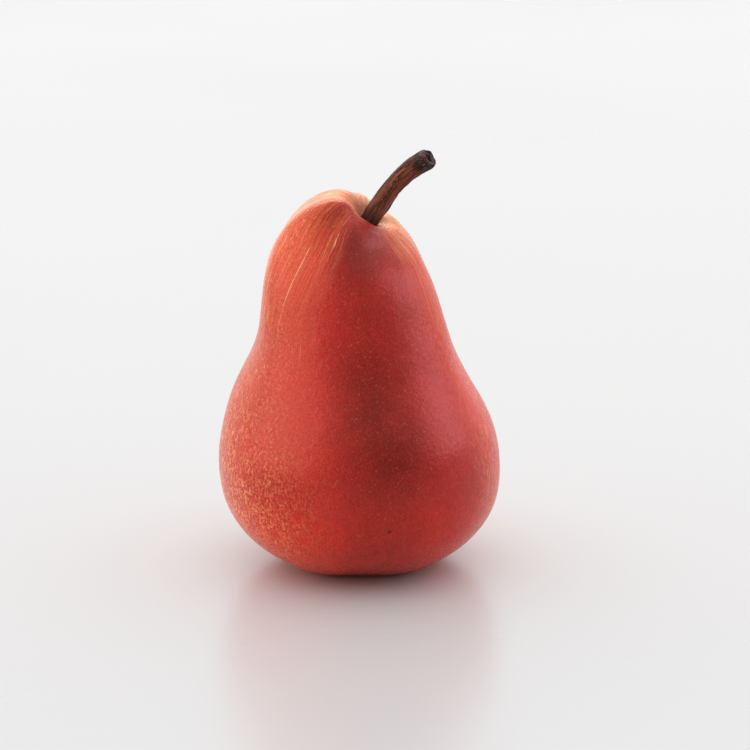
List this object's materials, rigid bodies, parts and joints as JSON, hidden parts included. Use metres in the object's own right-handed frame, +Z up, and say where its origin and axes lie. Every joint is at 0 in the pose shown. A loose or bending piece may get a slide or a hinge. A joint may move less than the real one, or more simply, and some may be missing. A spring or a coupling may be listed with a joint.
{
  "type": "pear",
  "caption": "Ripe red pear standing on its base, with a lobed crown, a leaning woody stem and a dried calyx in the basin underneath.",
  "frame": {"origin": "on the surface the pear stands on, under the middle of its bounding box", "axes": "+Z up towards the stem, -Y the pear's front as it is usually seen, +X the side that the stem leans to"},
  "size_m": [0.071, 0.0684, 0.1052],
  "materials": {
    "skin": "waxy skin, deep red with orange and yellow streaks",
    "stem": "dark brown bark, broken end",
    "calyx": "dry and dull"
  },
  "bodies": {
    "root": {"fruit": "skin", "stem": "stem", "calyx": "calyx"}
  },
  "joints": []
}
